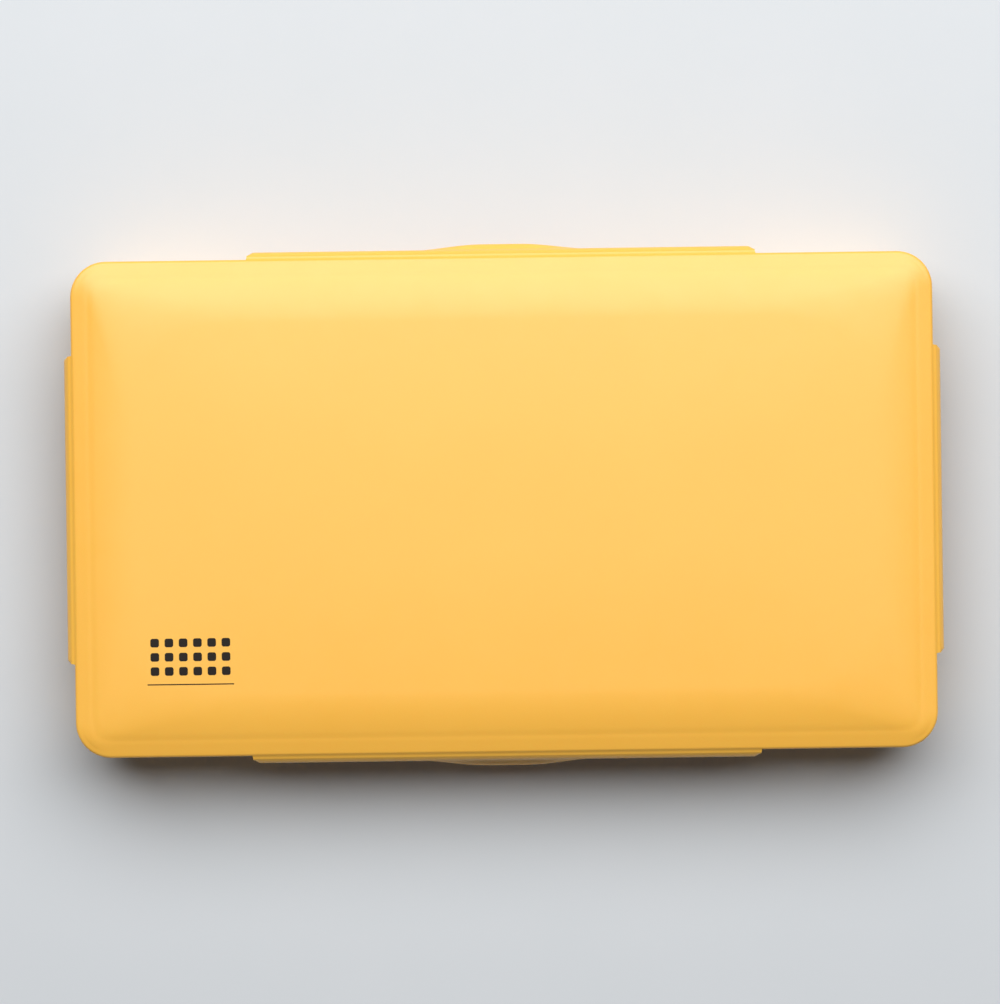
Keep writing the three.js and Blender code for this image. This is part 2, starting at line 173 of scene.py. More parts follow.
def moulded_plastic(name, light, deep, rough, grain_depth, subsurface=0.0, specular=0.5):
    """A faint cloudy colour, uneven sheen and fine grain. Silicone, ink and laminate share it too."""
    material, tree = new_material(name)
    place = add(tree, "ShaderNodeTexCoord").outputs["Object"]
    cloud = add(tree, "ShaderNodeTexNoise", {"Vector": place, "Scale": 1 / MOTTLE_SIZE, "Detail": 3.0})
    colour = cloudy_colour(tree, cloud, light, deep)
    patch = add(tree, "ShaderNodeTexNoise", {"Vector": place, "Scale": 1 / SHEEN_PATCH_SIZE, "Detail": 4.0})
    sheen = add(tree, "ShaderNodeMapRange", {
        "Value": patch.outputs["Fac"], "To Min": rough - SHEEN_SPREAD, "To Max": rough + SHEEN_SPREAD,
    })
    grain = add(tree, "ShaderNodeTexNoise", {"Vector": place, "Scale": 1 / SPARK_GRAIN, "Detail": 2.0})
    relief = add(tree, "ShaderNodeBump", {
        "Height": grain.outputs["Fac"], "Strength": 1.0, "Distance": grain_depth,
    })
    surface = add(tree, "ShaderNodeBsdfPrincipled", {
        "Base Color": colour.outputs["Result"],
        "Roughness": sheen.outputs["Result"],
        "Normal": relief.outputs["Normal"],
        "IOR": PLASTIC_IOR,
        "Specular IOR Level": specular,
        "Subsurface Weight": subsurface,
        "Subsurface Radius": LIGHT_REACH,
        "Subsurface Scale": LIGHT_DEPTH,
    })
    add(tree, "ShaderNodeOutputMaterial", {"Surface": surface.outputs["BSDF"]})
    return material


def outline(length, width, radius, side_steps=1):
    """Points round a rectangle with rounded corners, anticlockwise from above."""
    points = []
    for corner in range(4):
        side_x = 1 if corner in (0, 3) else -1
        side_y = 1 if corner < 2 else -1
        middle = Vector((side_x * (length / 2 - radius), side_y * (width / 2 - radius)))
        for step in range(CORNER_STEPS + 1):
            angle = (corner + step / CORNER_STEPS) * math.pi / 2
            points.append(middle + radius * Vector((math.cos(angle), math.sin(angle))))
    ring = []
    for i, point in enumerate(points):
        ring.append(point)
        if i % (CORNER_STEPS + 1) == CORNER_STEPS:
            after = points[(i + 1) % len(points)]
            ring += [point.lerp(after, step / side_steps) for step in range(1, side_steps)]
    return ring


def bend(start, corner, end, steps):
    """Points along a curve that leaves start and reaches end in line with corner."""
    shares = [step / steps for step in range(steps + 1)]
    return [start.lerp(corner, share).lerp(corner.lerp(end, share), share) for share in shares]


def rounded(profile):
    """A run of (inset, height, radius) corners, with each corner turned into an arc of its radius."""
    run = []
    for i, (inset, height, radius) in enumerate(profile):
        corner = Vector((inset, height))
        if radius == 0 or i in (0, len(profile) - 1):
            run.append(corner)
            continue
        before = Vector(profile[i - 1][:2]) - corner
        after = Vector(profile[i + 1][:2]) - corner
        half = before.angle(after) / 2
        reach = min(radius / math.tan(half), before.length * ARC_SHARE, after.length * ARC_SHARE)
        start = corner + before.normalized() * reach
        end = corner + after.normalized() * reach
        run += bend(start, corner, end, ARC_STEPS)
    return run


def level(points, height):
    """Flat points, all at one height."""
    return [Vector((p.x, p.y, height)) for p in points]


def case_size(inset):
    """The case's length and width, inset from the lid's edge."""
    return lid_high.x - lid_low.x - 2 * inset, lid_high.y - lid_low.y - 2 * inset


def case_ring(inset, height):
    """A level section of the case, inset from the lid's edge."""
    return level(outline(*case_size(inset), max(CASE_CORNER - inset, CASE_LEAST_CORNER)), height)


def skin(name, rings):
    """A mesh over a run of sections, capped at both ends."""
    count = len(rings[0])
    last = (len(rings) - 1) * count
    faces = []
    for low in range(0, last, count):
        high = low + count
        for i in range(count):
            after = (i + 1) % count
            faces.append((low + i, low + after, high + after, high + i))
    faces.append(tuple(range(count - 1, -1, -1)))
    faces.append(tuple(range(last, last + count)))
    mesh = bpy.data.meshes.new(name)
    mesh.from_pydata([p for ring in rings for p in ring], [], faces)
    piece = bpy.data.objects.new(name, mesh)
    bpy.context.collection.objects.link(piece)
    return piece


def dress(piece, material, slot, body, *nodes):
    """Gives a finished piece its material and smooth shading, its body and the nodes it stands for."""
    piece.data.materials.clear()
    piece.data.materials.append(material)
    piece.data.shade_smooth()
    piece.data.set_sharp_from_angle(angle=SHARP_FROM)
    even = piece.modifiers.new("even_normals", "WEIGHTED_NORMAL")
    even.keep_sharp = True
    if nodes:
        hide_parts(*nodes)
    if body:
        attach(piece, body)


lip_inset = CASE_WALL + LIP_CLEARANCE
lip_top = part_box("base_tray")[1].z
flange_top = lip_top - LIP_HEIGHT
flange_under = flange_top - FLANGE_THICK
tray_floor = FOOT_HEIGHT + TRAY_FLOOR


def tray_inset(height):
    """How far the drafted outer wall stands in from the lid's edge."""
    return lip_inset + TRAY_DRAFT * (1 - height / lip_top)


# Polypropylene out of a spark-eroded tool has a broad satin shine and lets a little light in.
yellow_pp = moulded_plastic(
    "spark_eroded_polypropylene", YELLOW, YELLOW_DEEP,
    rough=0.37, grain_depth=0.005 * MM, subsurface=0.15, specular=0.75,
)
foot_inner = tray_inset(0) + FOOT_WIDTH
tray_run = rounded([
    (foot_inner, FOOT_HEIGHT, 0),
    (foot_inner, 0, SMALL_ROUND),
    (tray_inset(0), 0, FOOT_EDGE),
    (tray_inset(flange_under), flange_under, SMALL_ROUND),
    (FLANGE_INSET, flange_under, FLANGE_EDGE),
    (FLANGE_INSET, flange_top, FLANGE_EDGE),
    (tray_inset(flange_top), flange_top, SMALL_ROUND),
    (lip_inset, lip_top, LIP_ROUND),
    (lip_inset + CASE_WALL, lip_top, LIP_ROUND),
    (tray_inset(tray_floor) + CASE_WALL, tray_floor, TRAY_FILLET),
    (foot_inner, tray_floor, 0),
])
tray = skin("tray", [case_ring(inset, height) for inset, height in tray_run])
dress(tray, yellow_pp, "yellow_polypropylene", "base", "base_tray")
gate_edge = outline(GATE_WIDE, GATE_WIDE, GATE_ROUND)
gate = skin("gate_stub", [level(gate_edge, FOOT_HEIGHT + side * GATE_TALL) for side in (-1, 1)])
dress(gate, yellow_pp, "yellow_polypropylene", "base")

# Rack
# One white polypropylene moulding: a plate with an aperture for each cup, over an egg-crate of thin webs
# that stands on the tray's floor. A cell is drawn once and Geometry Nodes set it out in columns and rows.
CUP_COLUMNS, CUP_ROWS = 6, 3
RACK_CLEARANCE = 0.8 * MM
RACK_MARGIN = 2.5 * MM
RACK_PLATE = 1.6 * MM
RACK_WEB = 1.6 * MM
CELL_CORNER = 6 * MM
CUP_SPACING = 1.6 * MM
CUP_CORNER = 8 * MM
CUP_FLANGE = 2.4 * MM
CUP_FIT = 0.5 * MM
JOIN_WITHIN = 0.01 * MM
WHITE_PP = "#F1EFE8"
WHITE_PP_DEEP = "#EAE7DE"

rack_low, rack_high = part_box("cup_rack")
plate_inset = tray_inset(rack_high.z) + CASE_WALL + RACK_CLEARANCE
crate_inset = tray_inset(rack_low.z) + CASE_WALL + RACK_CLEARANCE
rack_length, rack_width = case_size(crate_inset)
pitch_x = (rack_length - 2 * RACK_MARGIN) / CUP_COLUMNS
pitch_y = (rack_width - 2 * RACK_MARGIN) / CUP_ROWS
flange_length = pitch_x - CUP_SPACING
flange_width = pitch_y - CUP_SPACING


def tile_edge(length, width, radius):
    """The edge of a cell's tile, cut where lines out of an aperture's corner middles meet it."""
    spread_x = pitch_x / 2 - (length / 2 - radius)
    spread_y = pitch_y / 2 - (width / 2 - radius)
    edge = []
    for i, point in enumerate(outline(length, width, radius)):
        angle = (i // (CORNER_STEPS + 1) + i % (CORNER_STEPS + 1) / CORNER_STEPS) * math.pi / 2
        out = Vector((math.cos(angle), math.sin(angle)))
        steep_x = abs(out.x) / spread_x
        steep_y = abs(out.y) / spread_y
        edge.append(point + out * (1 / max(steep_x, steep_y) - radius))
    return edge


def together(*pieces):
    """One editable mesh with the faces of all the pieces."""
    mesh = bmesh.new()
    for piece in pieces:
        mesh.from_mesh(piece.data)
    return mesh


def write_back(mesh, piece, *spares):
    """Gives an edited mesh to a piece and removes the pieces that went into it."""
    mesh.to_mesh(piece.data)
    mesh.free()
    for spare in spares:
        bpy.data.objects.remove(spare)


def open_skin(name, rings, open_caps=(-2, -1)):
    """A skin without its first cap, face -2, its last, face -1, or both."""
    piece = skin(name, rings)
    mesh = together(piece)
    mesh.faces.ensure_lookup_table()
    bmesh.ops.delete(mesh, geom=[mesh.faces[cap] for cap in open_caps], context="FACES_ONLY")
    write_back(mesh, piece)
    return piece


def grown(name, tree, inputs):
    """Runs a Geometry Nodes tree with named inputs and keeps the result as a plain mesh."""
    host = bpy.data.objects.new(name, bpy.data.meshes.new(name))
    bpy.context.collection.objects.link(host)
    modifier = host.modifiers.new(name, "NODES")
    modifier.node_group = tree
    for socket in tree.interface.items_tree:
        if socket.in_out == "INPUT":
            modifier[socket.identifier] = inputs[socket.name]
    ready = host.evaluated_get(bpy.context.evaluated_depsgraph_get())
    mesh = bpy.data.meshes.new_from_object(ready)
    host.modifiers.clear()
    host.data = mesh
    return host


def node_tree(name, sockets):
    """An empty Geometry Nodes tree with its named inputs, and the node that brings them in."""
    tree = bpy.data.node_groups.new(name, "GeometryNodeTree")
    for socket, kind in sockets:
        tree.interface.new_socket(socket, in_out="INPUT", socket_type=kind)
    tree.interface.new_socket("Geometry", in_out="OUTPUT", socket_type="NodeSocketGeometry")
    return tree, add(tree, "NodeGroupInput").outputs


def tile_tree():
    """Copies of one tile on a grid of columns and rows, joined along their edges."""
    tree, given = node_tree("tiles_in_rows", [
        ("Tile", "NodeSocketObject"), ("Material", "NodeSocketMaterial"),
        ("Columns", "NodeSocketInt"), ("Rows", "NodeSocketInt"),
        ("Reach X", "NodeSocketFloat"), ("Reach Y", "NodeSocketFloat"),
        ("Join Within", "NodeSocketFloat"),
    ])
    spots = add(tree, "GeometryNodeMeshGrid", {
        "Size X": given["Reach X"], "Size Y": given["Reach Y"],
        "Vertices X": given["Columns"], "Vertices Y": given["Rows"],
    })
    tile = add(tree, "GeometryNodeObjectInfo", {"Object": given["Tile"]})
    copies = add(tree, "GeometryNodeInstanceOnPoints", {
        "Points": spots.outputs["Mesh"], "Instance": tile.outputs["Geometry"],
    })
    real = add(tree, "GeometryNodeRealizeInstances", {"Geometry": copies.outputs["Instances"]})
    joined = add(tree, "GeometryNodeMergeByDistance", {
        "Geometry": real.outputs["Geometry"], "Distance": given["Join Within"],
    })
    dressed = add(tree, "GeometryNodeSetMaterial", {
        "Geometry": joined.outputs["Geometry"], "Material": given["Material"],
    })
    add(tree, "NodeGroupOutput", {"Geometry": dressed.outputs["Geometry"]})
    return tree


cells_in_rows = tile_tree()


def tiled(name, tile, border, material, gap_heights):
    """Sets a tile out over the cups and closes the gap between the tiles and the border round them."""
    piece = grown(name, cells_in_rows, {
        "Tile": tile, "Material": material, "Columns": CUP_COLUMNS, "Rows": CUP_ROWS,
        "Reach X": (CUP_COLUMNS - 1) * pitch_x, "Reach Y": (CUP_ROWS - 1) * pitch_y,
        "Join Within": JOIN_WITHIN,
    })
    mesh = together(piece, border)
    for height in gap_heights:
        rim = [
            edge for edge in mesh.edges
            if edge.is_boundary and all(abs(vert.co.z - height) < JOIN_WITHIN for vert in edge.verts)
        ]
        bmesh.ops.triangle_fill(mesh, use_beauty=True, edges=rim, normal=(0, 0, 1))
    bmesh.ops.recalc_face_normals(mesh, faces=mesh.faces)
    write_back(mesh, piece, tile, border)
    return piece


# Polypropylene out of a finely eroded tool is an even satin white, softer than the case.
white_pp = moulded_plastic(
    "satin_polypropylene", WHITE_PP, WHITE_PP_DEEP, rough=0.42, grain_depth=0.004 * MM, subsurface=0.2,
)
aperture = (
    flange_length - 2 * (CUP_FLANGE - CUP_FIT), flange_width - 2 * (CUP_FLANGE - CUP_FIT),
    CUP_CORNER - CUP_FLANGE + CUP_FIT,
)
aperture_mouth = [size + grow * SMALL_ROUND for size, grow in zip(aperture, (2, 2, 1))]
cell = (pitch_x - RACK_WEB, pitch_y - RACK_WEB, CELL_CORNER)
plate_under = rack_high.z - RACK_PLATE
rack_tile = open_skin("rack_tile", [
    level(tile_edge(*aperture), rack_low.z),
    level(outline(*cell), rack_low.z),
    level(outline(*cell), plate_under),
    level(outline(*aperture), plate_under),
    level(outline(*aperture), rack_high.z - SMALL_ROUND),
    level(outline(*aperture_mouth), rack_high.z),
    level(tile_edge(*aperture), rack_high.z),
])
rack_border = open_skin("rack_border", [
    case_ring(inset, height) for inset, height in rounded([
        (crate_inset, rack_low.z, 0),
        (crate_inset, plate_under, SMALL_ROUND),
        (plate_inset, plate_under, SMALL_ROUND),
        (plate_inset, rack_high.z, SMALL_ROUND),
        (plate_inset + 2 * SMALL_ROUND, rack_high.z, 0),
    ])
])
rack = tiled("rack", rack_tile, rack_border, white_pp, (rack_low.z, rack_high.z))
dress(rack, white_pp, "white_polypropylene", "base", "cup_rack")

# Cups
# Thin frosted cups, injection moulded in natural polypropylene: a flange to hang by, tapered walls and
# a rounded bottom. The gouache shows faintly through the walls.
CUP_WALL = 1 * MM
CUP_TAPER = 2.6 * MM
CUP_FLANGE_THICK = 1.1 * MM
CUP_LEAST_CORNER = CUP_CORNER / 5
CUP_BOTTOM_ROUND = 2.6 * MM
FLANGE_ROUND = 0.35 * MM
FROSTED = "#E9EEEF"
FROSTED_DEEP = "#DDE4E6"
FROSTED_CLEAR = 0.35

cup_low, cup_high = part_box("cup_01")
cup_rise = cup_high.z - cup_low.z


def cup_radius(inset):
    """A cup's corner radius, inset from its flange's edge."""
    return max(CUP_CORNER - inset, CUP_LEAST_CORNER)


def cup_ring(inset, height, spot, side_steps=1):
    """A level section of a cup, inset from its flange's edge."""
    points = outline(flange_length - 2 * inset, flange_width - 2 * inset, cup_radius(inset), side_steps)
    return [Vector((p.x + spot.x, p.y + spot.y, height)) for p in points]


def cup_side(height):
    """How far a cup's outer wall stands in from its flange's edge."""
    return CUP_FLANGE + CUP_TAPER * (cup_high.z - height) / cup_rise


def frosted_plastic():
    """Frosted polypropylene lets some light through and blurs what lies behind it."""
    material = moulded_plastic(
        "frosted_polypropylene", FROSTED, FROSTED_DEEP, rough=0.32, grain_depth=0.003 * MM, subsurface=0.1,
    )
    surface = material.node_tree.nodes["Principled BSDF"]
    surface.inputs["Transmission Weight"].default_value = FROSTED_CLEAR
    return material


frosted_pp = frosted_plastic()
flange_under_cup = cup_high.z - CUP_FLANGE_THICK
inner_floor = cup_low.z + CUP_WALL
cup_run = rounded([
    (cup_side(cup_low.z) + 2 * CUP_BOTTOM_ROUND, cup_low.z, 0),
    (cup_side(cup_low.z), cup_low.z, CUP_BOTTOM_ROUND),
    (cup_side(flange_under_cup), flange_under_cup, SMALL_ROUND),
    (0, flange_under_cup, FLANGE_ROUND),
    (0, cup_high.z, FLANGE_ROUND),
    (cup_side(cup_high.z) + CUP_WALL, cup_high.z, FLANGE_ROUND),
    (cup_side(inner_floor) + CUP_WALL, inner_floor, CUP_BOTTOM_ROUND),
    (cup_side(inner_floor) + CUP_WALL + 2 * CUP_BOTTOM_ROUND, inner_floor, 0),
])
cup_numbers = [f"{number:02d}" for number in range(1, CUP_COLUMNS * CUP_ROWS + 1)]
cup_spots = {}
for number in cup_numbers:
    low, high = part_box(f"cup_{number}")
    cup_spots[number] = (low + high) / 2
    cup = skin(f"frosted_cup_{number}", [cup_ring(*step, cup_spots[number]) for step in cup_run])
    dress(cup, frosted_pp, "frosted_polypropylene", f"cup_{number}", f"cup_{number}")

# Gouache
# Thick opaque paint, filled into the cups through a nozzle: it stands up a little at the walls, and its
# skin keeps the nozzle's slow swirl. It is moist, with a soft shine.
PAINT_GAP = 0.06 * MM
MENISCUS_HIGH = 0.7 * MM
MENISCUS_WIDE = 2 * MM
SWIRL_DEEP = 0.14 * MM
SWIRL_PITCH = 9 * MM
SWIRL_FADE = 5 * MM
SWIRL_DRIFT_MM = 3
SWIRL_SEED = 18
# The surface's rings crowd at the wall, and the last stops just short of the middle.
SURFACE_RINGS = 28
SURFACE_CROWD = 1.4
SURFACE_END = 0.99
SURFACE_SIDE_STEPS = 14
PIGMENT_GRAIN = 0.8 * MM
PIGMENT_RELIEF = 0.02 * MM
PIGMENT_CLOUD = 16 * MM
PIGMENT_STREAK = 1.2
MOIST_ROUGH = 0.24
DRY_ROUGH = 0.42
GUM_IOR = 1.47
GUM_FILM = 0.25
GUM_FILM_ROUGH = 0.2
# Two near shades for each colour.
GOUACHE = {
    "white": ("#F4F1E8", "#ECE8DD"),
    "lemon": ("#F7E14A", "#F2D836"),
    "deep_yellow": ("#F6B21C", "#F0A512"),
    "orange": ("#F07F1D", "#E87012"),
    "vermilion": ("#DF3B26", "#D2301E"),
    "crimson": ("#B31F3A", "#A31932"),
    "rose": ("#E66A94", "#DE5B88"),
    "violet": ("#7A3F93", "#6D3586"),
    "ultramarine": ("#283C96", "#213386"),
    "cobalt": ("#2F78C4", "#266CB6"),
    "turquoise": ("#2FA7B4", "#259AA8"),
    "viridian": ("#1D7F5C", "#177250"),
    "sap_green": ("#7FAE3A", "#73A230"),
    "ochre": ("#C8923A", "#BC8530"),
    "sienna": ("#9C5226", "#8E481F"),
    "umber": ("#5B3A26", "#50321F"),
    "grey": ("#8B8F92", "#7F8386"),
    "black": ("#1F1F21", "#19191B"),
}

paint_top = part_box("paint_01")[1].z


def gouache(name, light, deep):
    """Pigment in gum: cloudy colour, a fine grain and a moist sheen that is duller in patches."""
    material, tree = new_material(name)
    place = add(tree, "ShaderNodeTexCoord").outputs["Object"]
    cloud = add(tree, "ShaderNodeTexNoise", {
        "Vector": place, "Scale": 1 / PIGMENT_CLOUD, "Detail": 5.0, "Distortion": PIGMENT_STREAK,
    })
    colour = cloudy_colour(tree, cloud, light, deep)
    damp = add(tree, "ShaderNodeMapRange", {
        "Value": cloud.outputs["Fac"], "To Min": MOIST_ROUGH, "To Max": DRY_ROUGH,
    })
    grain = add(tree, "ShaderNodeTexNoise", {"Vector": place, "Scale": 1 / PIGMENT_GRAIN, "Detail": 3.0})
    relief = add(tree, "ShaderNodeBump", {
        "Height": grain.outputs["Fac"], "Strength": 1.0, "Distance": PIGMENT_RELIEF,
    })
    surface = add(tree, "ShaderNodeBsdfPrincipled", {
        "Base Color": colour.outputs["Result"],
        "Roughness": damp.outputs["Result"],
        "Normal": relief.outputs["Normal"],
        "IOR": GUM_IOR,
        "Coat Weight": GUM_FILM,
        "Coat Roughness": GUM_FILM_ROUGH,
    })
    add(tree, "ShaderNodeOutputMaterial", {"Surface": surface.outputs["BSDF"]})
    return material


def paint_side(height):
    """How far the paint's side stands in from its cup's flange edge."""
    return cup_side(height) + CUP_WALL + PAINT_GAP


paint_base = inner_floor + PAINT_GAP
surface_side = paint_side(paint_top)


def level_off(share):
    """A rise whose slope dies away evenly."""
    return 1 - (1 - min(share, 1)) ** 2


def smooth(share):
    """A rise from 0 to 1 that starts and ends level."""
    share = min(max(share, 0), 1)
    return share * share * (3 - 2 * share)


def to_wall(point, spot):
    """How far a point of the paint's surface lies from the cup's wall."""
    radius = cup_radius(surface_side)
    past_x = abs(point.x - spot.x) - (flange_length / 2 - surface_side - radius)
    past_y = abs(point.y - spot.y) - (flange_width / 2 - surface_side - radius)
    return radius - math.hypot(max(past_x, 0), max(past_y, 0)) - min(max(past_x, past_y), 0)


def surface_height(point, spot, middle, winding, turn):
    """The height over the paint's rim: the nozzle's swirl, less the fall from the wall to the level part."""
    off_wall = to_wall(point, spot)
    away = point - middle
    wave = 2 * math.pi * away.length / SWIRL_PITCH + winding * math.atan2(away.y, away.x) + turn
    fade = smooth(off_wall / SWIRL_FADE) * smooth(away.length / SWIRL_FADE)
    sunk = MENISCUS_HIGH * level_off(off_wall / MENISCUS_WIDE)
    return SWIRL_DEEP * math.sin(wave) * fade - sunk


body_run = rounded([
    (paint_side(paint_base) + 2 * CUP_BOTTOM_ROUND, paint_base, 0),
    (paint_side(paint_base), paint_base, CUP_BOTTOM_ROUND),
    (surface_side, paint_top, 0),
])
chance = random.Random(SWIRL_SEED)
for number, (colour_name, (light, deep)) in zip(cup_numbers, GOUACHE.items()):
    spot = cup_spots[number]
    rings = [cup_ring(*step, spot, SURFACE_SIDE_STEPS) for step in body_run]
    wall = rings[-1]
    turn = chance.uniform(0, 2 * math.pi)
    winding = chance.choice((-1, 1))
    drift = Vector((chance.uniform(-1, 1), chance.uniform(-1, 1), 0)) * SWIRL_DRIFT_MM * MM
    middle = Vector((spot.x, spot.y, paint_top)) + drift
    for step in range(1, SURFACE_RINGS + 1):
        inwards = SURFACE_END * (step / SURFACE_RINGS) ** SURFACE_CROWD
        ring = [point.lerp(middle, inwards) for point in wall]
        for point in ring:
            point.z += surface_height(point, spot, middle, winding, turn)
        rings.append(ring)
    fill = skin(f"gouache_{colour_name}", rings)
    paint = gouache(f"gouache_{colour_name}", light, deep)
    dress(fill, paint, f"gouache_{colour_name}", f"cup_{number}", f"paint_{number}")

# Palette
# The white sheet that lies on the cups, moulded in glossy polystyrene. A shallow well over each cup is
# also the plug that shuts it, and a notch in the rim at each end lets a thumb under the lid's rib.
PALETTE_WALL = 1.2 * MM
PALETTE_CLEARANCE = 1 * MM
BORDER_REACH = 3 * PALETTE_WALL
WELL_DEPTH = 4.4 * MM
WELL_DRAFT = 1 * MM
WELL_ROUND = 1.4 * MM
PLUG_CLEARANCE = 0.6 * MM
NOTCH_LONG = 34 * MM
NOTCH_DEEP = 4.4 * MM
NOTCH_BAND = 0.25
RIM_STEPS = 36
WHITE_PS = "#F7F6F2"
WHITE_PS_DEEP = "#F1F0EA"

palette_low, palette_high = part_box("palette")
sheet_under = palette_low.z + WELL_DEPTH
sheet_top = sheet_under + PALETTE_WALL
palette_inset = lip_inset + CASE_WALL + PALETTE_CLEARANCE
plug_side = CUP_FLANGE + CUP_WALL + PLUG_CLEARANCE


def well_run(side, foot, top):
    """A well's wall from its tile's edge down to its flat floor."""
    return rounded([
        (side - WELL_ROUND, top, 0),
        (side, top, WELL_ROUND / 2),
        (side + WELL_DRAFT, foot, WELL_ROUND),
        (side + WELL_DRAFT + 2 * WELL_ROUND, foot, 0),
    ])


def palette_side(name, side, foot, top):
    """One face of the tile: its edge, the wall of the well and the floor."""
    middle = Vector((0, 0))
    tile = tile_edge(flange_length - 2 * side, flange_width - 2 * side, CUP_CORNER - side)
    rings = [level(tile, top)] + [cup_ring(*step, middle) for step in well_run(side, foot, top)]
    return open_skin(name, rings, open_caps=(-2,))


def palette_ring(inset, height):
    """A section of the rim, with points along its sides, that dips into the two thumb notches."""
    radius = CASE_CORNER - inset
    length, width = case_size(inset)
    ring = level(outline(length, width, radius, RIM_STEPS), height)
    free = max(height - (palette_high.z - NOTCH_DEEP), 0)
    for point in ring:
        if abs(point.x) > length / 2 - radius * NOTCH_BAND:
            across = min(abs(point.y) / (NOTCH_LONG / 2), 1)
            point.z -= free * (1 + math.cos(across * math.pi)) / 2
    return ring


# Polystyrene out of a polished tool has a hard, clear shine.
white_ps = moulded_plastic(
    "glossy_polystyrene", WHITE_PS, WHITE_PS_DEEP, rough=0.16, grain_depth=0.001 * MM, subsurface=0.15,
)
plug_foot = palette_low.z
palette_tile = palette_side("palette_tile", plug_side + PALETTE_WALL, plug_foot + PALETTE_WALL, sheet_top)
under_tile = palette_side("under_tile", plug_side, plug_foot, sheet_under)
write_back(together(palette_tile, under_tile), palette_tile, under_tile)
palette_border = open_skin("palette_border", [
    palette_ring(inset, height) for inset, height in rounded([
        (palette_inset + BORDER_REACH, sheet_under, 0),
        (palette_inset, sheet_under, PALETTE_WALL / 2),
        (palette_inset, palette_high.z, PALETTE_WALL / 2),
        (palette_inset + PALETTE_WALL, palette_high.z, PALETTE_WALL / 2),
        (palette_inset + PALETTE_WALL, sheet_top, PALETTE_WALL),
        (palette_inset + BORDER_REACH, sheet_top, 0),
    ])
])
palette = tiled("palette_sheet", palette_tile, palette_border, white_ps, (sheet_under, sheet_top))
dress(palette, white_ps, "white_polystyrene", "palette", "palette")

# Gasket
# A soft silicone ring, pressed into the channel between the lid's skirt and its inner rib. Geometry
# Nodes run its section round the case.
GASKET_GAP = 0.3 * MM
GASKET_ROUND = 0.6 * MM
SILICONE = "#E4E1D9"
SILICONE_DEEP = "#DAD6CC"

gasket_low, gasket_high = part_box("lid_gasket")


def curve_object(name, points, height):
    """A closed curve through points, at a height."""
    curve = bpy.data.curves.new(name, "CURVE")
    curve.dimensions = "3D"
    line = curve.splines.new("POLY")
    line.points.add(len(points) - 1)
    for spot, point in zip(line.points, points):
        spot.co = (point.x, point.y, height, 1)
    line.use_cyclic_u = True
    piece = bpy.data.objects.new(name, curve)
    bpy.context.collection.objects.link(piece)
    return piece


def sweep_tree():
    """A section run along a path."""
    tree, given = node_tree("section_round_path", [
        ("Path", "NodeSocketObject"), ("Section", "NodeSocketObject"), ("Material", "NodeSocketMaterial"),
    ])
    path = add(tree, "GeometryNodeObjectInfo", {"Object": given["Path"]})
    section = add(tree, "GeometryNodeObjectInfo", {"Object": given["Section"]})
    swept = add(tree, "GeometryNodeCurveToMesh", {
        "Curve": path.outputs["Geometry"], "Profile Curve": section.outputs["Geometry"],
    })
    real = add(tree, "GeometryNodeRealizeInstances", {"Geometry": swept.outputs["Mesh"]})
    dressed = add(tree, "GeometryNodeSetMaterial", {
        "Geometry": real.outputs["Geometry"], "Material": given["Material"],
    })
    add(tree, "NodeGroupOutput", {"Geometry": dressed.outputs["Geometry"]})
    return tree


# Pressed silicone is dull and waxy, and light runs deep into it.
silicone = moulded_plastic(
    "pressed_silicone", SILICONE, SILICONE_DEEP, rough=0.55, grain_depth=0.004 * MM, subsurface=0.3,
)
gasket_middle = lip_inset + CASE_WALL / 2
gasket_width = 2 * (gasket_middle - CASE_WALL - GASKET_GAP)
gasket_tall = gasket_high.z - gasket_low.z
path_points = outline(*case_size(gasket_middle), CASE_CORNER - gasket_middle)
gasket_path = curve_object("gasket_path", path_points, (gasket_low.z + gasket_high.z) / 2)
section_points = [
    Vector((point.x, point.y)) for point in rounded([
        (-gasket_width / 2, 0, 0),
        (-gasket_width / 2, -gasket_tall / 2, GASKET_ROUND),
        (gasket_width / 2, -gasket_tall / 2, GASKET_ROUND),
        (gasket_width / 2, gasket_tall / 2, SMALL_ROUND),
        (-gasket_width / 2, gasket_tall / 2, SMALL_ROUND),
        (-gasket_width / 2, 0, 0),
    ])[:-1]
]
gasket_section = curve_object("gasket_section", section_points, 0)
gasket = grown("gasket", sweep_tree(), {
    "Path": gasket_path, "Section": gasket_section, "Material": silicone,
})
for spare in (gasket_path, gasket_section):
    bpy.data.objects.remove(spare)
dress(gasket, silicone, "silicone", "lid", "lid_gasket")

# Lid
# The upper half, moulded in the same yellow polypropylene: a skirt, a rim that slopes up to a soft crease,
# a pillow and a low crown. A rib inside it shuts the gasket's channel.
RIM_WIDTH = 7 * MM
RIM_WALL = 1.4 * MM
RIM_RISE = 1.6 * MM
LID_EDGE = 1.2 * MM
LID_ROUND = 1.5 * MM
CREASE_REACH = 1.1 * MM
CREASE_DEEP = 0.09 * MM
DOME_RUN = 18 * MM
DOME_RISE = 2.2 * MM
CROWN_RISE = 1.2 * MM
# A corner leaves its side as this power of the way round it, and reaches this far along the side.
SOFT_BEND = 2.5
RIM_REACH = 11.6 * MM
PILLOW_REACH = 50 * MM
CROWN_REACH = 16 * MM
CROWN_FLAT = 18 * MM
RIB_WALL = 1.4 * MM
PALETTE_HOLD = 0.5 * MM
# The slope's rings start this many steps in, past the rounded edge.
SLOPE_START = 2
SLOPE_STEPS = 12
PILLOW_STEPS = 22
CROWN_STEPS = 14

crease_top = lid_high.z - DOME_RISE - CROWN_RISE
edge_top = crease_top - RIM_RISE
lid_ceiling = edge_top - RIM_WALL
rib_inset = 2 * gasket_middle - CASE_WALL
crown_run = (lid_high.y - lid_low.y) / 2 - RIM_WIDTH - DOME_RUN - CROWN_FLAT


